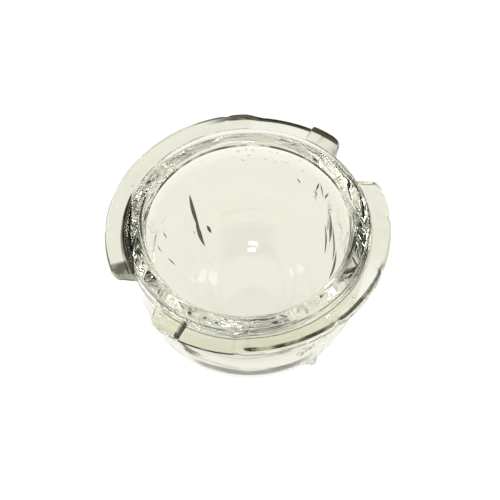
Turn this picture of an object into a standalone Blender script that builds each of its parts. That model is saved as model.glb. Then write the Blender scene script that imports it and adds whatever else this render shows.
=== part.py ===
"""A twist-lock bell of pressed glass, standing mouth up on its crown.

The real thing comes out of its mould as one piece of clear glass: a thick bell-shaped bowl, and
round its mouth a flat flange that two notches divide into two lugs. The metal tabs of a lid or
collar pass through the notches, slide round over the lugs and drop into a shallow recess at the
end of each one, against a stop. So there is one solid here, and nothing in it moves.

Metres, +Z up. The origin is the centre of the flat on the crown, which the glass stands on.
Angles are measured about +Z from +X, anticlockwise seen from above.
"""

from math import acos, atan2, cos, hypot, pi, radians, sin

import bmesh
import bpy
from mathutils import Matrix

# Flange: outside radius, how far it stands out from the bowl, thickness, and the radius that its
# long edges are rounded to
FLANGE_RADIUS = 0.0280
FLANGE_REACH = 0.0042
FLANGE_THICKNESS = 0.0025
FLANGE_EDGE = 0.0007

# Bowl: its side leans in a little from the flange down to the shoulder, then turns in to the crown
SHOULDER_INSET = 0.0009
SHOULDER_DROP = 0.0072  # from the flange's underside down to the shoulder
SHOULDER_HEIGHT = 0.0238  # from the crown flat up to the shoulder
CROWN_FLAT_RADIUS = 0.0060
OUTER_SQUARENESS = 2.5  # 2 is an ellipse, more is boxier
INNER_SQUARENESS = 2.35

# Glass thickness, at the bowl's side and at its crown
SIDE_WALL = 0.0040
CROWN_WALL = 0.0040

# Rim: how far it stands above the flange, and the radii of its outer and inner edges
RIM_RISE = 0.0005
RIM_OUTER_EDGE = 0.0005
RIM_INNER_EDGE = 0.0018

# Notches between the lugs
LUGS = 2
NOTCH_ANGLE = radians(32.0)  # middle of the first notch
NOTCH_WIDTH = 0.0073  # at the neck
NOTCH_FLARE = radians(39.0)  # how far each side opens from the notch's middle line
LUG_CORNER = 0.0018  # radius of a lug's outer corners, seen from above

# The stop at the anticlockwise side of each notch, and the recess past it that a tab drops into.
# Each is a length along the flange's outside.
STOP_LENGTH = 0.0052
RECESS_LENGTH = 0.0103
RAMP_LENGTH = 0.0044  # slope from the recess up to the lug's full height
RECESS_DEPTH = 0.0012

# How finely the round shapes are divided
RING_STEPS = 72
DOME_POINTS = 11
EDGE_POINTS = 3
RECESS_STEPS = 5
CLEAR = 0.0010  # how far a cutter or a joined piece reaches past the face that it crosses

NECK_RADIUS = FLANGE_RADIUS - FLANGE_REACH
SHOULDER_RADIUS = NECK_RADIUS - SHOULDER_INSET
BORE_RADIUS = NECK_RADIUS - SIDE_WALL
BOWL_RADIUS = SHOULDER_RADIUS - SIDE_WALL
LUG_ROOT_RADIUS = (BORE_RADIUS + NECK_RADIUS) / 2
FLANGE_BOTTOM = SHOULDER_HEIGHT + SHOULDER_DROP
FLANGE_TOP = FLANGE_BOTTOM + FLANGE_THICKNESS
RIM_TOP = FLANGE_TOP + RIM_RISE
RECESS_FLOOR = FLANGE_TOP - RECESS_DEPTH


def clear_scene():
    for old in list(bpy.data.objects):
        bpy.data.objects.remove(old, do_unlink=True)


def glass_material():
    material = bpy.data.materials.new("clear_glass")
    material.use_nodes = True
    shader = material.node_tree.nodes["Principled BSDF"]
    shader.inputs["Base Color"].default_value = (0.93, 0.93, 0.86, 1.0)
    shader.inputs["Roughness"].default_value = 0.02
    shader.inputs["Metallic"].default_value = 0.0
    shader.inputs["IOR"].default_value = 1.52
    shader.inputs["Transmission Weight"].default_value = 1.0
    return material


def new_object(name, bm):
    """Puts a finished bmesh in a new object, with every face pointing out."""
    bmesh.ops.recalc_face_normals(bm, faces=bm.faces)
    mesh = bpy.data.meshes.new(name)
    bm.to_mesh(mesh)
    bm.free()
    piece = bpy.data.objects.new(name, mesh)
    bpy.context.scene.collection.objects.link(piece)
    return piece


def arc(centre_r, centre_z, radius, start, end, steps):
    """Points of an arc in the profile plane, from one angle to another."""
    angles = [start + (end - start) * i / steps for i in range(steps + 1)]
    return [(centre_r + radius * cos(a), centre_z + radius * sin(a)) for a in angles]


def dome_curve(radius, foot, height, squareness, flat_radius):
    """A superellipse quarter from the shoulder down to a flat of flat_radius, as (r, z) points."""
    power = 2 / squareness
    last = acos((flat_radius / radius) ** (1 / power))
    points = []
    for i in range(DOME_POINTS + 1):
        angle = last * i / DOME_POINTS
        depth = (sin(angle) / sin(last)) ** power
        points.append((radius * cos(angle) ** power, foot + height * (1 - depth)))
    return points


def bowl_profile():
    """Half section of the bowl, from the middle of the crown's underside round to its inside."""
    outside = dome_curve(
        SHOULDER_RADIUS, 0, SHOULDER_HEIGHT, OUTER_SQUARENESS, CROWN_FLAT_RADIUS
    )
    inside = dome_curve(
        BOWL_RADIUS, CROWN_WALL, SHOULDER_HEIGHT - CROWN_WALL, INNER_SQUARENESS, CROWN_FLAT_RADIUS
    )
    rim_outer = arc(
        NECK_RADIUS - RIM_OUTER_EDGE, RIM_TOP - RIM_OUTER_EDGE, RIM_OUTER_EDGE, 0, pi / 2, EDGE_POINTS
    )
    rim_inner = arc(
        BORE_RADIUS + RIM_INNER_EDGE, RIM_TOP - RIM_INNER_EDGE, RIM_INNER_EDGE, pi / 2, pi, EDGE_POINTS
    )
    neck = [(NECK_RADIUS, FLANGE_BOTTOM)]
    return (
        [(0, 0)] + outside[::-1] + neck + rim_outer + rim_inner + inside + [(0, CROWN_WALL)]
    )


def make_bowl():
    """The bell of revolution: the half section spun once round +Z."""
    bm = bmesh.new()
    corners = [bm.verts.new((r, 0, z)) for r, z in bowl_profile()]
    edges = [bm.edges.new(pair) for pair in zip(corners, corners[1:])]
    bmesh.ops.spin(
        bm, geom=corners + edges, axis=(0, 0, 1), cent=(0, 0, 0),
        angle=2 * pi, steps=RING_STEPS, use_merge=True,
    )
    bmesh.ops.remove_doubles(bm, verts=bm.verts, dist=1e-6)
    bowl = new_object("glass_dome", bm)
    bowl.data.materials.append(glass_material())
    return bowl


def corner_arc():
    """Where a lug's end face turns into its round outside, as (angle, radius) from a notch's middle.

    The end face is a straight line that starts at the neck and leans away from the notch's middle.
    The corner is the circle that touches both that line and the flange's outside.
    """
    lean = NOTCH_FLARE
    start_x = NECK_RADIUS
    start_y = NOTCH_WIDTH / 2
    # The line's normal points into the lug. Its offset is the line's distance from the axis.
    normal = atan2(cos(lean), -sin(lean))
    offset = start_x * cos(normal) + start_y * sin(normal)
    reach = FLANGE_RADIUS - LUG_CORNER
    middle = normal - acos((offset + LUG_CORNER) / reach)
    x = reach * cos(middle)
    y = reach * sin(middle)
    turn = [normal + pi + (middle - normal + pi) * i / EDGE_POINTS for i in range(EDGE_POINTS + 1)]
    corner = [(x + LUG_CORNER * cos(a), y + LUG_CORNER * sin(a)) for a in turn]
    # The end face runs on inside the neck, where the bowl's wall swallows it.
    back = (start_x - LUG_ROOT_RADIUS) / cos(lean)
    root = (start_x - back * cos(lean), start_y - back * sin(lean))
    return [(atan2(py, px), hypot(px, py)) for px, py in [root] + corner]


def lug_outline():
    """One lug seen from above, as (x, y) points: out along one end, round, and in along the other."""
    pitch = 2 * pi / LUGS
    first = corner_arc()
    last = [(pitch - angle, radius) for angle, radius in first[::-1]]
    from_angle = first[-1][0]
    to_angle = last[0][0]
    steps = max(2, round(RING_STEPS * (to_angle - from_angle) / (2 * pi)))
    outside = [
        (from_angle + (to_angle - from_angle) * i / steps, FLANGE_RADIUS) for i in range(1, steps)
    ]
    root_from = last[-1][0]
    root_to = first[0][0]
    root = [
        (root_from + (root_to - root_from) * i / steps, first[0][1]) for i in range(1, steps)
    ]
    outline = first + outside + last + root
    return [(r * cos(NOTCH_ANGLE + a), r * sin(NOTCH_ANGLE + a)) for a, r in outline]


def on_outside(vert):
    return hypot(vert.co.x, vert.co.y) > NECK_RADIUS


def make_lug(number):
    """A flat plate cut to the lug's outline, with its free edges rounded over."""
    bm = bmesh.new()
    floor = bm.faces.new([bm.verts.new((x, y, FLANGE_BOTTOM)) for x, y in lug_outline()])
    grown = bmesh.ops.extrude_face_region(bm, geom=[floor])["geom"]
    raised = [item for item in grown if isinstance(item, bmesh.types.BMVert)]
    bmesh.ops.translate(bm, verts=raised, vec=(0, 0, FLANGE_THICKNESS))
    level = [e for e in bm.edges if abs(e.verts[0].co.z - e.verts[1].co.z) < FLANGE_THICKNESS / 2]
    free = [e for e in level if on_outside(e.verts[0]) or on_outside(e.verts[1])]
    bmesh.ops.bevel(
        bm, geom=free, offset=FLANGE_EDGE, offset_type="OFFSET", affect="EDGES",
        segments=EDGE_POINTS, profile=0.5, material=-1,
    )
    bmesh.ops.rotate(
        bm, verts=bm.verts, cent=(0, 0, 0),
        matrix=Matrix.Rotation(2 * pi * number / LUGS, 3, "Z"),
    )
    return new_object(f"lug_{number + 1}", bm)


def spin_face(bm, face, angle, steps):
    """Sweeps a face round +Z into a solid, and returns the face at its far end."""
    swept = bmesh.ops.spin(
        bm, geom=[face], axis=(0, 0, 1), cent=(0, 0, 0), angle=angle, steps=steps
    )["geom_last"]
    return next(item for item in swept if isinstance(item, bmesh.types.BMFace))


def make_recess_cutter(number):
    """A block bent round the axis that lowers a lug past its stop and slopes up at its far end."""
    lug_end = corner_arc()[-1][0]
    start = NOTCH_ANGLE + 2 * pi * number / LUGS + lug_end + STOP_LENGTH / FLANGE_RADIUS
    flat = RECESS_LENGTH / FLANGE_RADIUS
    slope = (RECESS_DEPTH + CLEAR / 2) / (RAMP_LENGTH / FLANGE_RADIUS)
    span = flat + (RAMP_LENGTH + CLEAR) / FLANGE_RADIUS
    inner = LUG_ROOT_RADIUS - CLEAR
    outer = FLANGE_RADIUS + CLEAR
    high = FLANGE_TOP + CLEAR
    bm = bmesh.new()
    corners = [
        bm.verts.new((r * cos(start), r * sin(start), z))
        for r, z in ((inner, RECESS_FLOOR), (outer, RECESS_FLOOR), (outer, high), (inner, high))
    ]
    begun = bm.faces.new(corners)
    halfway = spin_face(bm, begun, flat, RECESS_STEPS)
    ended = spin_face(bm, halfway, span - flat, 1)
    bmesh.ops.delete(bm, geom=[halfway], context="FACES_ONLY")
    for vert in ended.verts:
        if vert.co.z < FLANGE_TOP:
            vert.co.z = RECESS_FLOOR + slope * (span - flat)
    cutter = new_object(f"recess_cutter_{number + 1}", bm)
    hide_helper(cutter)
    return cutter


def hide_helper(piece):
    piece.hide_render = True
    piece.display_type = "WIRE"


def combine(target, other, operation):
    boolean = target.modifiers.new(other.name, "BOOLEAN")
    boolean.operation = operation
    boolean.solver = "EXACT"
    boolean.object = other


def main():
    clear_scene()
    bowl = make_bowl()
    for number in range(LUGS):
        lug = make_lug(number)
        hide_helper(lug)
        combine(lug, make_recess_cutter(number), "DIFFERENCE")
        combine(bowl, lug, "UNION")
    bowl.data.shade_smooth()
    bowl.data.set_sharp_from_angle(angle=radians(35))


main()
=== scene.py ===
# %% [markdown]
# # A twist-lock bell of pressed glass
#
# The object is a single piece of clear glass, pressed in an iron mould: a thick bell-shaped bowl,
# and round its mouth a flat flange that two notches divide into two lugs. It stands mouth up on
# its crown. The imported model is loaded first, as the fixed frame that everything here must fit.

# %% Load the frame
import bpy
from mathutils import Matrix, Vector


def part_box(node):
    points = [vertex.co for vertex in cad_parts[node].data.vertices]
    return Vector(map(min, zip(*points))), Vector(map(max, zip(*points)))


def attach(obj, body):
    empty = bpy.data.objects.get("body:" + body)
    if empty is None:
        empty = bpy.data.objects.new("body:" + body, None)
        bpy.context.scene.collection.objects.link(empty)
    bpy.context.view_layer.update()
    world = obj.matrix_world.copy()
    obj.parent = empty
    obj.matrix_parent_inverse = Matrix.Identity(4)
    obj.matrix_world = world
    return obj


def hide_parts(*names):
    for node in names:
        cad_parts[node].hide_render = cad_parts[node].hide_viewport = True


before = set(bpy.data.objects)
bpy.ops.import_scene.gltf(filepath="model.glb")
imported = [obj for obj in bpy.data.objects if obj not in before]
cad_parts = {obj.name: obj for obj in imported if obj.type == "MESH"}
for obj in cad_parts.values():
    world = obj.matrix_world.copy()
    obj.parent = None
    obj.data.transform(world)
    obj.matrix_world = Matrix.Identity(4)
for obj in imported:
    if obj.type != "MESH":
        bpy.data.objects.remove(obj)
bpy.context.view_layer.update()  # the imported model: one node, "glass_dome", standing at the origin
low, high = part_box("glass_dome")
print("the frame is", [round((b - a) * 1000, 1) for a, b in zip(low, high)], "mm")

# %% [markdown]
# ## Sizes
#
# A pressing is described by a handful of sizes, in metres. The whole surface below is worked out
# from them, so that a change to one of them carries through.

# %% Sizes of the glass
from math import acos, atan2, cos, exp, hypot, pi, radians, sin, sqrt, tan

import bmesh
import bpy
from mathutils import Matrix, Vector, noise

FLANGE_RADIUS = 0.0280
NECK_RADIUS = 0.0238
SHOULDER_RADIUS = 0.0229
SHOULDER_HEIGHT = 0.0238
FLANGE_BOTTOM = 0.0310
FLANGE_TOP = 0.0335
RIM_TOP = high.z
SIDE_WALL = 0.0040
CROWN_WALL = 0.0040
CROWN_FLAT_RADIUS = 0.0060
OUTER_SQUARENESS = 2.5
INNER_SQUARENESS = 2.35
BORE_RADIUS = NECK_RADIUS - SIDE_WALL
BOWL_RADIUS = SHOULDER_RADIUS - SIDE_WALL
print("the bowl is", round(BOWL_RADIUS * 2000, 1), "mm wide inside")

# %% [markdown]
# ## Rounded edges
#
# Hot glass never fills a mould's corners, so every edge has a radius. These small radii do more
# for the look of clear glass than any colour, because each one gathers the room into a thin
# dark or bright line.

# %% Edge radii
FLANGE_EDGE = 0.0009
UNDER_FILLET = 0.0010
TOP_FILLET = 0.0004
RIM_OUTER_EDGE = 0.0006
RIM_INNER_EDGE = 0.0018
print("the softest edge has a radius of", RIM_INNER_EDGE * 1000, "mm")

# %% [markdown]
# ## The section
#
# A mould maker starts from the half section of the piece, and so does this script. Straight runs
# are two points divided evenly, round ones are arcs, and the bell itself is a superellipse: a
# curve between an ellipse and a box, which gives the flattened crown and full shoulder of a
# pressed bowl from one number. The alternative, a subdivided cylinder pushed about by hand, would
# need far more points to hold the same curve.

# %% Pieces of a section
def run(start, end, steps):
    """Points from start up to, but not including, end."""
    return [tuple(a + (b - a) * i / steps for a, b in zip(start, end)) for i in range(steps)]


def arc(centre, radius, start, end, steps):
    angles = [radians(start + (end - start) * i / steps) for i in range(steps + 1)]
    return [(centre[0] + radius * cos(a), centre[1] + radius * sin(a)) for a in angles]


def dome_curve(radius, foot, height, squareness, steps):
    """The bell's curve from the shoulder down to the rim of the crown's flat."""
    power = 2 / squareness
    last = acos((CROWN_FLAT_RADIUS / radius) ** (1 / power))
    points = []
    for i in range(steps + 1):
        angle = last * i / steps
        depth = (sin(angle) / sin(last)) ** power
        points.append((radius * cos(angle) ** power, foot + height * (1 - depth)))
    return points


# %% [markdown]
# The flange's own part of the section is kept apart, because the notches will move just these
# points. It runs out along the underside, round the edge and back along the top.

# %% The half section
def flange_path():
    e, f, t = FLANGE_EDGE, UNDER_FILLET, TOP_FILLET
    out = FLANGE_RADIUS - e
    under = arc((NECK_RADIUS + f, FLANGE_BOTTOM - f), f, 180, 90, 5)
    return (
        under[:-1]
        + run(under[-1], (out, FLANGE_BOTTOM), 5)
        + arc((out, FLANGE_BOTTOM + e), e, -90, 0, 6)
        + arc((out, FLANGE_TOP - e), e, 0, 90, 6)[:-1]
        + run((out, FLANGE_TOP), (NECK_RADIUS + t, FLANGE_TOP), 6)
        + arc((NECK_RADIUS + t, FLANGE_TOP + t), t, 270, 180, 3)[:-1]
    )


crown = run((0, 0), (CROWN_FLAT_RADIUS, 0), 4)
outside = dome_curve(SHOULDER_RADIUS, 0, SHOULDER_HEIGHT, OUTER_SQUARENESS, 30)[::-1]
neck = run(outside[-1], (NECK_RADIUS, FLANGE_BOTTOM - UNDER_FILLET), 5)[1:]
flange = flange_path()
rim = (
    arc((NECK_RADIUS - RIM_OUTER_EDGE, RIM_TOP - RIM_OUTER_EDGE), RIM_OUTER_EDGE, 0, 90, 4)[1:]
    + arc((BORE_RADIUS + RIM_INNER_EDGE, RIM_TOP - RIM_INNER_EDGE), RIM_INNER_EDGE, 90, 180, 8)
)
inside = dome_curve(
    BOWL_RADIUS, CROWN_WALL, SHOULDER_HEIGHT - CROWN_WALL, INNER_SQUARENESS, 28
)
bore = run(rim[-1], inside[0], 7)[1:]
middle = run(inside[-1], (0, CROWN_WALL), 4)[1:] + [(0, CROWN_WALL)]

section = crown + outside + neck + flange + rim + bore + inside + middle
FLANGE_FIRST = len(crown) + len(outside) + len(neck)
FLANGE_LAST = FLANGE_FIRST + len(flange) - 1
INSIDE_FIRST = FLANGE_LAST + 1 + len(rim)
print("the section has", len(section), "points")

# %% [markdown]
# ## Where the flange stops
#
# Seen from above, each notch is a gap with sides that flare outward and lug corners that are
# rounded. The flange's reach at any angle is therefore one number between 0, flush with the neck,
# and 1, the full radius. Moulding the notches this way keeps the surface in one skin, with the
# soft corners that hot glass has, where a Boolean cut would leave knife edges.

# %% The plan of the lugs
LUGS = 2
PITCH = 2 * pi / LUGS
NOTCH_ANGLE = radians(32.0)
NOTCH_HALF_WIDTH = 0.00365
NOTCH_FLARE = radians(39.0)
LUG_CORNER = 0.0018

# A notch's side is the line y = start + slope * x, with x outward along the notch's middle
SIDE_SLOPE = tan(NOTCH_FLARE)
SIDE_START = NOTCH_HALF_WIDTH - SIDE_SLOPE * NECK_RADIUS


def side_angle(radius):
    """The angle from a notch's middle at which its flared side crosses a radius."""
    a = 1 + SIDE_SLOPE * SIDE_SLOPE
    b = 2 * SIDE_SLOPE * SIDE_START
    c = SIDE_START * SIDE_START - radius * radius
    x = (-b + sqrt(b * b - 4 * a * c)) / (2 * a)
    return atan2(SIDE_START + SIDE_SLOPE * x, x)


CORNER_START = FLANGE_RADIUS - 0.75 * LUG_CORNER
CORNER_FROM = side_angle(CORNER_START)
CORNER_SPAN = 1.5 * LUG_CORNER / FLANGE_RADIUS


def plan_radius(angle):
    """How far out the glass reaches at this angle from a notch's middle."""
    angle = abs(angle)
    if angle >= CORNER_FROM:
        t = min(1.0, (angle - CORNER_FROM) / CORNER_SPAN)
        return CORNER_START + (FLANGE_RADIUS - CORNER_START) * sqrt(1 - (1 - t) ** 2)
    if angle <= side_angle(NECK_RADIUS):
        return NECK_RADIUS
    return SIDE_START / (sin(angle) - SIDE_SLOPE * cos(angle))


print("each lug spans", round(360 / LUGS - 2 * CORNER_FROM * 180 / pi), "degrees")

# %% [markdown]
# ## The recess and the stop
#
# Past each notch, on its anticlockwise side, comes a short block as high as the lug, then a step
# down into the recess where the lid's tab rests, and a slope back up to full height.

# %% The height of the flange's top
STOP_LENGTH = 0.0052
RECESS_LENGTH = 0.0103
RAMP_LENGTH = 0.0044
RECESS_DEPTH = 0.0012
STEP_LENGTH = 0.0006
LUG_END = radians(15.9)  # from a notch's middle to where the stop block begins


def smooth(t):
    t = min(1.0, max(0.0, t))
    return t * t * (3 - 2 * t)


def recess_depth(angle):
    """How much lower the flange's top is at this angle past a notch's middle."""
    along = (angle - LUG_END) * FLANGE_RADIUS - STOP_LENGTH
    falling = smooth((along + STEP_LENGTH / 2) / STEP_LENGTH)
    rising = smooth((along - RECESS_LENGTH) / RAMP_LENGTH)
    return RECESS_DEPTH * falling * (1 - rising)


print("the recess leaves", round((FLANGE_TOP - FLANGE_BOTTOM - RECESS_DEPTH) * 1000, 1), "mm of glass")

# %% [markdown]
# ## The skin
#
# The section is spun once round the axis. Its columns are then gathered toward the notches, where
# the shape changes quickly, and spread out over the plain sides, which costs no extra points.

# %% Spin the section
COLUMNS = 720
GATHER = 0.55
GATHER_AT = NOTCH_ANGLE + radians(8.0)


def spin_section(name, outline, columns):
    bm = bmesh.new()
    corners = [bm.verts.new((r, 0, z)) for r, z in outline]
    edges = [bm.edges.new(pair) for pair in zip(corners, corners[1:])]
    bmesh.ops.spin(
        bm, geom=corners + edges, axis=(0, 0, 1), cent=(0, 0, 0),
        angle=2 * pi, steps=columns, use_merge=True,
    )
    poles = [v for v in bm.verts if hypot(v.co.x, v.co.y) < 1e-6]
    bmesh.ops.remove_doubles(bm, verts=poles, dist=1e-6)
    bmesh.ops.recalc_face_normals(bm, faces=bm.faces)
    mesh = bpy.data.meshes.new(name)
    bm.to_mesh(mesh)
    bm.free()
    return mesh


def gathered(angle):
    turn = LUGS * (angle - GATHER_AT)
    return angle - GATHER * sin(turn) / LUGS


glass_mesh = spin_section("pressed_glass", section, COLUMNS)
print("the skin has", len(glass_mesh.vertices), "points")

# %% [markdown]
# ## Knowing each point's place on the section
#
# Every point of the skin is told which point of the section it came from. With that, each part
# of the section can be moved in its own way, along its own outward direction.

# %% Look up the section
places = {(round(r * 1e6), round(z * 1e6)): i for i, (r, z) in enumerate(section)}


def place_of(r, z):
    key = (round(r * 1e6), round(z * 1e6))
    near = [(0, 0), (1, 0), (-1, 0), (0, 1), (0, -1), (1, 1), (-1, -1), (1, -1), (-1, 1)]
    for dr, dz in near:
        found = places.get((key[0] + dr, key[1] + dz))
        if found is not None:
            return found
    raise ValueError("a point left the section")


def outward(i):
    """The section's outward direction at point i, as (r, z)."""
    if i in (0, len(section) - 1):
        return (0.0, -1.0 if i == 0 else 1.0)
    (r0, z0), (r1, z1) = section[i - 1], section[i + 1]
    size = hypot(r1 - r0, z1 - z0)
    return ((z1 - z0) / size, -(r1 - r0) / size)


normals = [outward(i) for i in range(len(section))]

# How high each flange point sits where a notch has drawn the flange in to nothing
SPARE_LENGTH = 0.0002  # keeps the last point just under the rim's own first one
lengths = [0.0]
for a, b in zip(flange, flange[1:]):
    lengths.append(lengths[-1] + hypot(b[0] - a[0], b[1] - a[1]))
foot, head = flange[0][1], FLANGE_TOP + TOP_FILLET
faded = [foot + (head - foot) * s / (lengths[-1] + SPARE_LENGTH) for s in lengths]
print("in a notch the flange's points share", round((head - foot) * 1000, 1), "mm of the neck")

# %% [markdown]
# ## Pressing the lugs
#
# Inside a notch the flange's points are drawn in to the neck and spread along it, so that no face
# shrinks to nothing. Elsewhere they keep their reach, and the top ones sink by the recess.

# %% Press the lugs
SINK_FROM = 0.2  # share of the thickness below which a point does not sink
SINK_OVER = 0.6
GROWN_AT = 0.18  # share of the reach at which a lug has its full section


def press(i, r, z, angle):
    """The radius and height of flange point i at this angle, after pressing."""
    from_notch = (angle - NOTCH_ANGLE + PITCH / 2) % PITCH - PITCH / 2
    reach = (plan_radius(from_notch) - NECK_RADIUS) / (FLANGE_RADIUS - NECK_RADIUS)
    past = from_notch % PITCH
    thickness = FLANGE_TOP - FLANGE_BOTTOM
    top_share = smooth((z - FLANGE_BOTTOM - SINK_FROM * thickness) / (SINK_OVER * thickness))
    grown = smooth(reach / GROWN_AT)
    lowered = z - recess_depth(past) * top_share
    level = faded[i - FLANGE_FIRST]
    return NECK_RADIUS + (r - NECK_RADIUS) * reach, level + (lowered - level) * grown


# %% [markdown]
# ## What pressing does to a surface
#
# The plunger and the mould are colder than the glass, and both leave chill ripples: low waves
# that run mostly level inside the bowl and wander outside it. They are moved into the skin and
# not painted on, because in clear glass they show by what they bend, and the same ripple must
# bend every ray that crosses it. They are calmer toward the rim.

# %% Chill ripples
RIPPLE_INSIDE = 0.00011
RIPPLE_OUTSIDE = 0.00014
RIPPLE_FLANGE = 0.00006
RIPPLE_RIM = 0.00004
SETTLING = 0.000034  # fine level rings low in the bowl
SETTLING_PITCH = 0.0013
NECK_CALM = 0.6  # share of the ripples lost above CALM_FROM
CALM_FROM = 0.0225
CALM_OVER = 0.0040


def hill(u, v=0.0):
    return exp(-0.5 * (u * u + v * v))


def wave(x, y, z, across, along, seed):
    """Smooth noise from -1 to 1; across and along are its sizes in plan and in height."""
    return noise.noise(Vector((x / across, y / across, z / along + seed)))


def ripple(i, x, y, z):
    """How far a ripple lifts section point i out of its surface."""
    calm = 1 - NECK_CALM * smooth((z - CALM_FROM) / CALM_OVER)
    if i >= INSIDE_FIRST:
        fade = calm * smooth((hypot(x, y) - 0.001) / 0.006) * smooth((0.0335 - z) / 0.003)
        level = wave(x, y, z, 0.0170, 0.0024, 3.1)
        fine = wave(x, y, z, 0.0060, 0.0030, 7.7)
        rings = SETTLING * sin(2 * pi * z / SETTLING_PITCH) * hill((z - 0.0095) / 0.0035)
        return RIPPLE_INSIDE * fade * (level + 0.45 * fine) + rings * (0.7 + 0.6 * fine)
    if i < FLANGE_FIRST:
        fade = calm * smooth((z - 0.0002) / 0.003)
        broad = wave(x, y, z, 0.0150, 0.0042, 11.3)
        fine = wave(x, y, z, 0.0070, 0.0022, 17.9)
        return RIPPLE_OUTSIDE * fade * (broad + 0.5 * fine)
    if i <= FLANGE_LAST:
        return RIPPLE_FLANGE * (wave(x, y, z, 0.0045, 0.0040, 23.5) - 0.7)
    return RIPPLE_RIM * (wave(x, y, z, 0.0050, 0.0040, 29.2) - 0.8)


# %% [markdown]
# ## Marks
#
# The mould opens in two halves, which leaves a fine seam up each side. A bead of glass was
# squeezed out near the foot of the front seam, the gob left a fold on the far wall, and years of
# use have nicked the lugs. Each mark is a small hill or hollow, given by where it is, how wide it
# is and how high.

# %% Marks left by the mould and by use
SEAMS = (128.0, 308.0)
SEAM_WIDTH = 0.00028
SEAM_HEIGHT = 0.00010
NICKS_FROM = FLANGE_RADIUS - 0.0018

# On the outside of the body: degrees round, height, half width, half height, how far it stands out
BODY_MARKS = (
    (302.0, 0.0108, 0.00075, 0.00075, 0.00120),
    (299.0, 0.0124, 0.00050, 0.00060, 0.00040),
    (238.0, 0.0262, 0.00120, 0.00080, -0.00035),
    (35.0, 0.0150, 0.00080, 0.0048, 0.00038),
    (24.0, 0.0120, 0.00070, 0.0040, -0.00030),
    (47.0, 0.0200, 0.00060, 0.0020, 0.00028),
)
# On the edge of the lugs: degrees round, half width, depth
NICKS = (
    (305.0, 0.00060, 0.00030),
    (336.0, 0.00050, 0.00025),
    (1.5, 0.00055, 0.00025),
    (13.5, 0.00045, 0.00020),
    (263.0, 0.00050, 0.00022),
    (176.0, 0.00045, 0.00018),
    (96.0, 0.00050, 0.00020),
)
# Folds inside the bowl: degrees and height at each end, half width, how far it stands out
FOLDS = (
    (127.0, 0.0237, 126.0, 0.0098, 0.00030, -0.00022),
    (119.5, 0.0128, 118.5, 0.0114, 0.00026, -0.00016),
    (41.0, 0.0268, 36.0, 0.0290, 0.00022, -0.00014),
    (36.0, 0.0262, 31.0, 0.0286, 0.00022, 0.00014),
)


def turned(degrees, angle):
    """How far an angle is from a mark's, between -pi and pi."""
    return (angle - radians(degrees) + pi) % (2 * pi) - pi


def marks(i, r, z, angle):
    """How far the marks lift section point i out of its surface."""
    if i < FLANGE_FIRST:
        rise = 0.0
        for degrees in SEAMS:
            off = turned(degrees, angle) * r
            rise += SEAM_HEIGHT * hill(off / SEAM_WIDTH) * smooth(z / 0.003)
        for degrees, height, wide, tall, out in BODY_MARKS:
            off = turned(degrees, angle) * r
            rise += out * hill(off / wide, (z - height) / tall)
        return rise
    if i <= FLANGE_LAST:
        edge = smooth((r - NICKS_FROM) / 0.0012)
        return -sum(
            depth * edge * hill(turned(degrees, angle) * r / wide)
            for degrees, wide, depth in NICKS
        )
    rise = 0.0
    for start, top, end, bottom, wide, out in FOLDS:
        t = (z - top) / (bottom - top)
        if -0.15 < t < 1.15:
            off = turned(start + (end - start) * t, angle) * r
            rise += out * hill(off / wide) * smooth(4 * t + 0.5) * smooth(4.5 - 4 * t)
    return rise


print(len(BODY_MARKS) + len(NICKS) + len(FOLDS), "marks and", len(SEAMS), "seams")

# %% [markdown]
# ## Finishing the skin
#
# Now each point is turned with its column, pressed, and moved along its outward direction by
# ripples and marks. Nothing may pass the frame's own box, so the last step holds it there.

# %% Move every point
CLEARANCE = 0.000002
LARGEST_RADIUS = min(high.x, high.y) - CLEARANCE


def finished(x, y, z):
    r = hypot(x, y)
    if r < 1e-7:
        return x, y, z
    i = place_of(r, z)
    angle = gathered(atan2(y, x) % (2 * pi))
    r_out, z_out = normals[i]
    if FLANGE_FIRST <= i <= FLANGE_LAST:
        r, z = press(i, r, z, angle)
    shift = ripple(i, r * cos(angle), r * sin(angle), z) + marks(i, r, z, angle)
    r = min(r + shift * r_out, LARGEST_RADIUS)
    z = min(max(z + shift * z_out, 0.0), RIM_TOP)
    return r * cos(angle), r * sin(angle), z


for vert in glass_mesh.vertices:
    vert.co = finished(*vert.co)
glass_mesh.update()
glass_mesh.shade_smooth()
glass = bpy.data.objects.new("pressed_glass", glass_mesh)
bpy.context.scene.collection.objects.link(glass)
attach(glass, "root")
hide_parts("glass_dome")
reach = max(vert.co.x for vert in glass_mesh.vertices)
print("the glass reaches", round(reach * 1000, 2), "mm from its middle")

# %% [markdown]
# ## Seeds
#
# Small bubbles, called seeds, are trapped in most pressed glass. Each is a real hollow, so it is
# modelled as a tiny closed surface inside the wall. Light meets it from the glass side, which its
# material below takes account of.

# %% Seeds in the glass
# Degrees round, radius, height, size, how much it is drawn out along the flange
SEEDS = (
    (227.0, 0.0255, 0.0323, 0.00050, 1.3),
    (231.0, 0.0228, 0.0322, 0.00042, 1.0),
    (244.0, 0.0226, 0.0320, 0.00030, 1.5),
    (30.0, 0.0219, 0.0316, 0.00042, 1.2),
    (13.0, 0.0222, 0.0312, 0.00036, 1.0),
    (6.0, 0.0223, 0.0308, 0.00030, 1.6),
    (152.0, 0.0252, 0.0324, 0.00022, 1.0),
    (318.0, 0.0258, 0.0321, 0.00024, 1.4),
    (285.0, 0.0215, 0.0300, 0.00026, 1.0),
)


def add_seed(bm, degrees, radius, height, size, drawn):
    place = (
        Matrix.Rotation(radians(degrees), 4, "Z")
        @ Matrix.Translation((radius, 0, height))
        @ Matrix.Diagonal((1.0, drawn, 0.8, 1.0))
    )
    bmesh.ops.create_icosphere(bm, subdivisions=3, radius=size, matrix=place)


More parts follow.
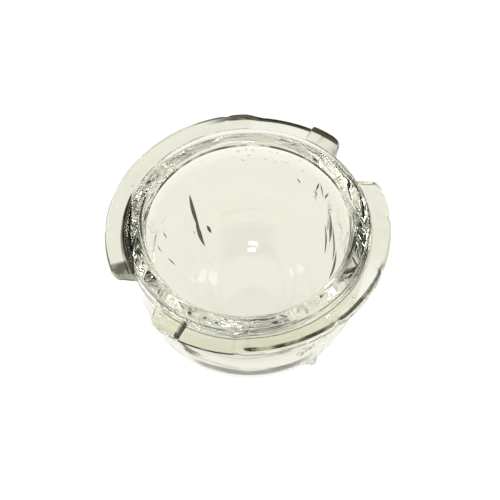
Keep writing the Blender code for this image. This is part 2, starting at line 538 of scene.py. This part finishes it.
bm = bmesh.new()
for seed in SEEDS:
    add_seed(bm, *seed)
seed_mesh = bpy.data.meshes.new("seeds")
bm.to_mesh(seed_mesh)
bm.free()
seed_mesh.shade_smooth()
seeds = bpy.data.objects.new("seeds", seed_mesh)
bpy.context.scene.collection.objects.link(seeds)
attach(seeds, "root")
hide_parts("glass_dome")
print(len(SEEDS), "seeds")

# %% [markdown]
# ## Writing shader sums
#
# Masks for a material are sums on numbers that the renderer works out at each point. This small
# class lets them be written as ordinary arithmetic.

# %% A socket that can be added and multiplied
class Wire:
    def __init__(self, tree, socket):
        self.tree = tree
        self.socket = socket

    def node(self, kind, settings=None, values=None, output=0):
        """Adds any node to the same tree and gives back one of its outputs."""
        made = self.tree.nodes.new(kind)
        for name, value in (settings or {}).items():
            setattr(made, name, value)
        for name, value in (values or {}).items():
            if isinstance(value, Wire):
                self.tree.links.new(value.socket, made.inputs[name])
            else:
                made.inputs[name].default_value = value
        return Wire(self.tree, made.outputs[output])

    def maths(self, operation, first, second):
        return self.node("ShaderNodeMath", {"operation": operation}, {0: first, 1: second})

    def single(self, operation):
        """A sum on this wire alone, such as its sine."""
        return self.node("ShaderNodeMath", {"operation": operation}, {0: self})

    def __add__(self, other):
        return self.maths("ADD", self, other)

    def __sub__(self, other):
        return self.maths("SUBTRACT", self, other)

    def __mul__(self, other):
        return self.maths("MULTIPLY", self, other)

    def __truediv__(self, other):
        return self.maths("DIVIDE", self, other)

    def __radd__(self, other):
        return self.maths("ADD", other, self)

    def __rsub__(self, other):
        return self.maths("SUBTRACT", other, self)

    def __rmul__(self, other):
        return self.maths("MULTIPLY", other, self)

    def at_least(self, other):
        return self.maths("MAXIMUM", self, other)

    def at_most(self, other):
        return self.maths("MINIMUM", self, other)

    def between(self, start, end):
        """0 below start, 1 above end, and a smooth rise in between."""
        settings = {"interpolation_type": "SMOOTHSTEP"}
        values = {"Value": self, "From Min": start, "From Max": end}
        return self.node("ShaderNodeMapRange", settings, values)

    def within(self, start, end, soft):
        """1 between start and end, with soft sides."""
        return self.between(start - soft, start) * (1 - self.between(end, end + soft))

    def mix(self, first, second):
        """This wire is the share of the second colour."""
        values = {0: self, 6: first, 7: second}
        return self.node("ShaderNodeMix", {"data_type": "RGBA"}, values, output=2)


def new_material(name):
    """A material, its main shader, and a wire to start its sums from."""
    material = bpy.data.materials.new(name)
    material.use_nodes = True
    tree = material.node_tree
    return material, tree.nodes["Principled BSDF"], Wire(tree, None)


def feed(shader, name, wire):
    wire.tree.links.new(wire.socket, shader.inputs[name])


# %% [markdown]
# ## The glass
#
# Soda-lime glass bends light by 1.52. Its tint is a trace of iron and of the manganese once added
# to hide it: a faint straw colour. On the flat of the lugs the colour is a little deeper, and that
# part is painted shade for the shaded floor seen through them. The tint wanders slightly, as the
# melt was never stirred perfectly. All its masks read plain positions on the piece, so the look
# stays with the glass from every side.

# %% Where a point is on the glass
glass_look, glass_shader, start = new_material("straw_tinted_glass")
place = start.node("ShaderNodeTexCoord", output="Object")


def part_of(axis):
    return place.node("ShaderNodeSeparateXYZ", values={0: place}, output=axis)


def cloudy(scale, detail):
    values = {"Vector": place, "Scale": scale, "Detail": detail}
    return place.node("ShaderNodeTexNoise", values=values)


east = part_of("X")
north = part_of("Y")
height = part_of("Z")
radius = (east * east + north * north).single("SQRT")
cloud = cloudy(90.0, 2.0)
uneven = cloudy(260.0, 2.0).between(0.30, 0.62)
fine = cloudy(900.0, 3.0)


def sector(centre, half, soft):
    """1 within so many degrees of a bearing."""
    ahead = (east * cos(radians(centre)) + north * sin(radians(centre))) / radius
    return ahead.between(cos(radians(half + soft)), cos(radians(half)))


# %% [markdown]
# The bowl and the lugs each have their own tint; the lugs' deeper one is partly painted shade. The
# rim, the underside of the flange and the wall behind the front lug are kept nearly clear, because
# light crosses several of them in a row and the tints would multiply.

# %% Tint
TINT_BODY = (0.815, 0.805, 0.700, 1.0)
# The lugs' colour is straw tint plus painted shade for the shaded floor below them.
LUG_TINT_AND_SHADE = (0.715, 0.705, 0.570, 1.0)
TINT_CLEAR = (0.95, 0.95, 0.87, 1.0)
TINT_DEEP = (0.82, 0.81, 0.66, 1.0)

lug_top = height.between(0.0316, 0.0330)
front = (0 - north / radius).between(0.30, 0.55)
underside = (1 - height.between(0.0311, 0.0316)) * radius.between(0.0240, 0.0243)
neck_wall = height.between(0.0262, 0.0285) * radius.between(0.0212, 0.0220) * (1 - lug_top)
rim_top = height.between(0.0316, 0.0325) * (1 - radius.between(0.0238, 0.0242))
front_wall = (1 - radius.between(0.0203, 0.0206)) * height.between(0.0120, 0.0180)
front_wall = front_wall * (1 - lug_top) * front
front_lug = lug_top * radius.between(0.0242, 0.0246) * front * 0.75
clear = (underside + neck_wall + rim_top + front_wall + front_lug).at_most(1.0)
tint = clear.mix(lug_top.mix(TINT_BODY, LUG_TINT_AND_SHADE), TINT_CLEAR)
tint = (cloud.between(0.45, 0.75) * 0.35).mix(tint, TINT_DEEP)

# %% [markdown]
# ## Dark edges
#
# Along the edges of the lugs, dark bands are painted into the glass colour: painted shade for the
# dark of the room that the rounded edges bend into view. It is strongest along the rounded edge of
# the far lug and the ends of the lugs, and thin and broken along the two edges of the front lug.

# %% Painted shade along the edges of the lugs
# Painted shade: dark bands along the rounded edges of the lugs.
lug_edge = radius.between(0.02700, 0.02730) * height.within(0.0310, 0.0336, 0.0003)
far_edge = lug_edge * sector(71, 20, 15) * (0.85 + 0.15 * uneven)
side_edge = radius.between(0.02765, 0.02780) * sector(170, 22, 7) * (0.35 + 0.5 * uneven)

front_low = radius.between(0.0274, 0.0276) * height.within(0.0313, 0.0319, 0.0001)
front_low = front_low * sector(280, 54, 8) * (0.55 + 0.45 * uneven)
front_high = radius.between(0.0271, 0.0273) * height.within(0.0331, 0.0334, 0.0001)
front_high = front_high * sector(298, 36, 6) * (0.30 + 0.7 * uneven)

far_end = height.within(0.0311, 0.0333, 0.0001) * sector(46, 7, 1.5)
near_end = height.within(0.0311, 0.0316, 0.0002) * sector(198, 5, 1.5)
lug_ends = (far_end + near_end) * radius.between(0.0244, 0.0248) * (0.45 + 0.5 * uneven)
# Painted shade also darkens the steps down into the recesses.
stops = sector(58.4, 0.8, 0.3) + sector(238.4, 1.2, 0.4)
stops = stops * radius.between(0.0242, 0.0246) * height.within(0.0324, 0.0334, 0.0001) * 0.9

# %% [markdown]
# Where the flange meets the rim and the neck there is a hollow corner on either side, darkened with
# painted shade. On the left the shade swells to a broad black leaf, and elsewhere it draws a
# hairline. The mouth's edge gets a painted dark line, and the heel of the bowl a painted shadow: the
# contact shadow under the crown as seen through the glass.

# %% Painted shade lines round the rim and the heel
below = height.between(0.0298, 0.0301) * (1 - height.between(0.0309, 0.0313))
# Painted shade in the hollow corners under and over the flange.
fillet = radius.within(0.02380, 0.02490, 0.00010) * below * sector(186, 24, 12)
fillet = fillet * (0.4 + 0.4 * uneven)

above = height.between(0.0331, 0.0333)
swell = sector(181, 3, 23)
leaf = (radius - 0.0244 + swell * 0.0017).between(0, 0.00015)
leaf = leaf * (1 - radius.between(0.0244, 0.0246)) * swell.between(0.02, 0.12)
leaf = leaf * above * (0.75 + 0.25 * uneven)
hairline = radius.within(0.02374, 0.02392, 0.00006) * above * (0.10 + 0.55 * uneven)

# Painted shade: a dark line along the mouth's edge.
mouth = radius.within(0.01998, 0.02014, 0.00006) * height.between(0.0320, 0.0326)
mouth = mouth * (sector(92, 62, 12) + sector(312, 40, 12)) * (0.15 + 0.75 * uneven)
# Painted shadow: the contact shadow under the crown, as seen through the front of the bowl.
heel = height.within(0.0052, 0.0069, 0.0005) * radius.between(0.0130, 0.0138)
heel = heel * sector(268, 30, 16) * (0.65 + 0.35 * uneven)

# %% [markdown]
# ## Folds and specks
#
# The gob that was dropped in the mould folded as it spread. Along each fold a dark leaf-shaped line
# is painted on the inner wall: painted shade for the dark that a fold shows by bending light. Small
# dark specks under the far rim and a few single dark points are painted into the colour as well.

# %% Painted shade along the folds on the inner wall
inner_wall = 1 - radius.between(0.0203, 0.0206)


def line_on_wall(start, top, end, bottom, half_width):
    """A leaf-shaped line of painted shade on the inner wall, from one bearing and height to another.
    """
    t = (height - top) / (bottom - top)
    bearing = t * radians(end - start) + radians(start)
    turned_sin = bearing.single("SINE")
    turned_cos = bearing.single("COSINE")
    across = (east * turned_sin - north * turned_cos).single("ABSOLUTE")
    ahead = east * turned_cos + north * turned_sin
    width = t * (1 - t) * 4 * half_width
    return (width - across).between(0, 0.00008) * ahead.between(0, 0.001) * inner_wall


# Bearing and height at the top, bearing and height at the bottom, half width
LINES = (
    (126.5, 0.0242, 125.5, 0.0122, 0.00044),
    (126.3, 0.0150, 127.5, 0.0094, 0.00052),
    (119.5, 0.0130, 118.5, 0.0110, 0.00036),
    (155.0, 0.0218, 153.0, 0.0184, 0.00020),
    (166.0, 0.0226, 163.0, 0.0180, 0.00022),
    (160.0, 0.0150, 158.0, 0.0118, 0.00018),
    (56.0, 0.0263, 54.0, 0.0252, 0.00030),
    (42.0, 0.0258, 40.0, 0.0292, 0.00024),
    (39.5, 0.0292, 35.0, 0.0258, 0.00024),
    (34.5, 0.0256, 31.0, 0.0290, 0.00024),
    (28.0, 0.0240, 23.0, 0.0152, 0.00060),
    (24.0, 0.0205, 12.0, 0.0134, 0.00050),
    (32.0, 0.0185, 22.0, 0.0120, 0.00034),
    (14.0, 0.0170, 3.0, 0.0110, 0.00060),
)
folds = line_on_wall(*LINES[0])
for line in LINES[1:]:
    folds = folds.at_least(line_on_wall(*line))
print(len(LINES), "folds drawn on the inner wall")

# %% Dark points and specks
# Bearing, radius, height, size
SPOTS = (
    (302.5, 0.0222, 0.0100, 0.00085),
    (298.5, 0.0212, 0.0122, 0.00050),
    (20.0, 0.0226, 0.0340, 0.00042),
    (152.0, 0.0222, 0.0340, 0.00030),
    (204.0, 0.0262, 0.0316, 0.00050),
    (313.0, 0.0276, 0.0320, 0.00050),
    (238.0, 0.0226, 0.0339, 0.00050),
    (246.0, 0.0224, 0.0339, 0.00042),
)


def spot(degrees, out, high_up, size):
    middle = (out * cos(radians(degrees)), out * sin(radians(degrees)), high_up)
    values = {0: place, 1: middle}
    away = place.node("ShaderNodeVectorMath", {"operation": "DISTANCE"}, values, "Value")
    return 1 - away.between(size * 0.6, size)


specks = fine.between(0.60, 0.68) * height.within(0.0285, 0.0318, 0.0008)
specks = specks * (1 - radius.between(0.0200, 0.0203)) * sector(72, 16, 12) * 0.3
# Every painted shade mask above, with the dark specks and points, adds into one darkening.
edges = far_edge + side_edge + front_low + front_high + lug_ends + stops
edges = edges + fillet + leaf + hairline + mouth + heel + specks
for dark_point in SPOTS:
    edges = edges + spot(*dark_point) * (0.45 + 0.4 * uneven)
print(len(SPOTS), "dark points")

# %% [markdown]
# ## Putting the glass together
#
# The painted shade, the dark specks and points, and the tint meet in one colour. Handling dulls the
# crown's foot, so it is a little rough, and a faint bump stands for waves too low to model. A
# constant absorption in the depth of the glass deepens the colour along the long ways round inside
# the wall.

# %% Glass material
# The olive that painted shade and the dark marks turn the glass toward.
SHADE_OLIVE = (0.004, 0.004, 0.001, 1.0)
GLASS_BENDING = 1.52
SHADE_STEEPNESS = 2.5  # how quickly a mark turns from tint to olive

# Painted shade and the painted fold lines turn the tint toward olive.
light = (1 - edges).at_least(0.0) * (1 - folds * 0.92)
light = light.maths("POWER", light, SHADE_STEEPNESS)
feed(glass_shader, "Base Color", light.mix(SHADE_OLIVE, tint))

foot_wear = (1 - height.between(0.0001, 0.0006)) * fine.between(0.45, 0.62)
feed(glass_shader, "Roughness", foot_wear * 0.22 + 0.004)
waves = {"Height": cloud, "Strength": 0.08, "Distance": 0.0004}
feed(glass_shader, "Normal", cloud.node("ShaderNodeBump", values=waves, output="Normal"))
glass_shader.inputs["IOR"].default_value = GLASS_BENDING
glass_shader.inputs["Transmission Weight"].default_value = 1.0

absorbing = {"Color": (0.79, 0.80, 0.60, 1.0), "Density": 4.0}
depth = start.node("ShaderNodeVolumeAbsorption", values=absorbing)
result = glass_look.node_tree.nodes["Material Output"]
glass_look.node_tree.links.new(depth.socket, result.inputs["Volume"])
glass_mesh.materials.append(glass_look)
print("the glass is mixed from", len(glass_look.node_tree.nodes), "nodes")

# %% [markdown]
# ## The air in the seeds
#
# Light enters a bubble from the glass side, so its bend is the glass's turned upside down. With
# that, a bubble shows as a bright dot in a dark ring, as a real one does.

# %% Air in the seeds
air_look, air_shader, air = new_material("air_in_glass")
air_shader.inputs["IOR"].default_value = 1 / GLASS_BENDING
air_shader.inputs["Transmission Weight"].default_value = 1.0
air_place = air.node("ShaderNodeTexCoord", output="Object")
haze = air_place.node("ShaderNodeTexNoise", values={"Vector": air_place, "Scale": 3000.0})
feed(air_shader, "Roughness", haze * 0.04)
air_shader.inputs["Base Color"].default_value = (0.98, 0.98, 0.95, 1.0)
seed_mesh.materials.append(air_look)
print("a bubble bends light by", round(1 / GLASS_BENDING, 3))

# %% [markdown]
# ## Floor
#
# Clear glass is mostly a picture of what lies behind it, so the floor is a plain pale surface. It
# is lit from within like a light table, which leaves hardly any shadow under the glass.

# %% Floor
FLOOR_GLOW = 1.0
FLOOR_RADIUS = 3.0
FLOOR_DROP = 0.00005  # keeps the crown and the floor from sharing a plane

bm = bmesh.new()
bmesh.ops.create_circle(bm, cap_ends=True, radius=FLOOR_RADIUS, segments=96)
floor_mesh = bpy.data.meshes.new("floor")
bm.to_mesh(floor_mesh)
bm.free()
floor = bpy.data.objects.new("floor", floor_mesh)
floor.location.z = -FLOOR_DROP
bpy.context.scene.collection.objects.link(floor)
floor_look, floor_shader, _ = new_material("pale_table")
floor_shader.inputs["Base Color"].default_value = (0.10, 0.10, 0.10, 1.0)
floor_shader.inputs["Roughness"].default_value = 1.0
floor_shader.inputs["Specular IOR Level"].default_value = 0.0
floor_shader.inputs["Emission Color"].default_value = (1.0, 1.0, 1.0, 1.0)
floor_shader.inputs["Emission Strength"].default_value = FLOOR_GLOW
floor_mesh.materials.append(floor_look)
print("the floor is", 2 * FLOOR_RADIUS, "m across")

# %% [markdown]
# ## Room
#
# The room is a white tent, bright at both sides and overhead. Its front and back are grey low
# down and dark above that, and a small dark opening on the camera's side cuts into the ceiling.
# The dark parts draw some of the black lines: wherever the glass turns the view toward them, the
# edge goes dark. The rest are painted shade in the glass's colour.

# %% Room
SKY = 1.00
DARK = 0.01


def direction(azimuth, elevation):
    a, e = radians(azimuth), radians(elevation)
    return Vector((cos(a) * cos(e), sin(a) * cos(e), sin(e)))


world = bpy.data.worlds.new("white_tent")
bpy.context.scene.world = world
world.use_nodes = True
sky = Wire(world.node_tree, None)
look = sky.node("ShaderNodeTexCoord", output="Generated")


def opening(azimuth, elevation, inner, outer):
    """1 inside a round patch of the room, 0 outside it."""
    middle = direction(azimuth, elevation)
    values = {0: look, 1: middle}
    facing = look.node("ShaderNodeVectorMath", {"operation": "DOT_PRODUCT"}, values, "Value")
    return facing.between(cos(radians(outer)), cos(radians(inner)))


sideways = look.node("ShaderNodeSeparateXYZ", values={0: look}, output="X")
rising = look.node("ShaderNodeSeparateXYZ", values={0: look}, output="Z")
sides = sideways.single("ABSOLUTE").between(0.42, 0.60)
ceiling = rising.between(0.80, 0.90)
low_down = (1 - rising.between(0.20, 0.38)) * 0.4
walls = sides.at_least(ceiling).at_least(low_down)
brightness = walls * (1 - opening(262, 50, 12, 15)) * (SKY - DARK) + DARK
background = world.node_tree.nodes["Background"]
feed(background, "Strength", brightness)
background.inputs["Color"].default_value = (1.0, 1.0, 0.97, 1.0)
print("the room is mixed from", len(world.node_tree.nodes), "nodes")

# %% [markdown]
# ## Lights
#
# The tent alone would leave the glass without sparkle. Three small softboxes, one in front and one
# at each side, give the bowl its window-like highlights and put white points along the rim.

# %% Lights
def softbox(name, azimuth, elevation, distance, width, height, power):
    """A rectangular light that faces the glass."""
    light = bpy.data.lights.new(name, "AREA")
    light.shape = "RECTANGLE"
    light.size = width
    light.size_y = height
    light.energy = power
    holder = bpy.data.objects.new(name, light)
    bpy.context.scene.collection.objects.link(holder)
    holder.location = direction(azimuth, elevation) * distance
    holder.rotation_euler = (-holder.location).to_track_quat("-Z", "Y").to_euler()


softbox("front_light", 264, 50, 1.2, 0.18, 0.12, 1.8)
softbox("right_light", 0, 45, 1.2, 0.30, 0.40, 0.8)
softbox("left_light", 180, 40, 1.2, 0.20, 0.40, 0.6)
print("three softboxes")

# %% [markdown]
# ## Camera
#
# A long lens looks down on the dome from the front, a little more than half way up.

# %% Camera
DISTANCE = 14 * FLANGE_RADIUS
ELEVATION = radians(56.19)
ROLL = radians(3.54)
LENS = 144.36
SHIFT = (0.0045, -0.0393)

centre = Vector((0, 0, (FLANGE_BOTTOM + FLANGE_TOP) / 2))
back = Vector((0, -cos(ELEVATION), sin(ELEVATION)))
across = Vector((1, 0, 0))
basis = Matrix((across, back.cross(across), back)).transposed()
turn = Matrix.Rotation(-ROLL, 3, "Z")
camera = bpy.data.cameras.new("camera")
camera.sensor_width = 36.0
camera.lens = LENS
camera.shift_x, camera.shift_y = SHIFT
viewer = bpy.data.objects.new("camera", camera)
bpy.context.scene.collection.objects.link(viewer)
viewer.matrix_world = Matrix.Translation(centre + back * DISTANCE) @ (basis @ turn).to_4x4()
bpy.context.scene.camera = viewer
print("the camera stands", round(DISTANCE * 100), "cm from the glass")

# %% [markdown]
# Light that enters a thick rim is passed along inside the wall by many reflections before it
# leaves, so paths are allowed to be long. Cut short, the whole rim would turn black.

# %% How light is followed
LONGEST_PATH = 36

scene = bpy.context.scene
scene.view_settings.view_transform = "Standard"
scene.cycles.max_bounces = LONGEST_PATH
scene.cycles.transmission_bounces = LONGEST_PATH
scene.cycles.glossy_bounces = 32
print("a ray may meet", LONGEST_PATH, "surfaces")
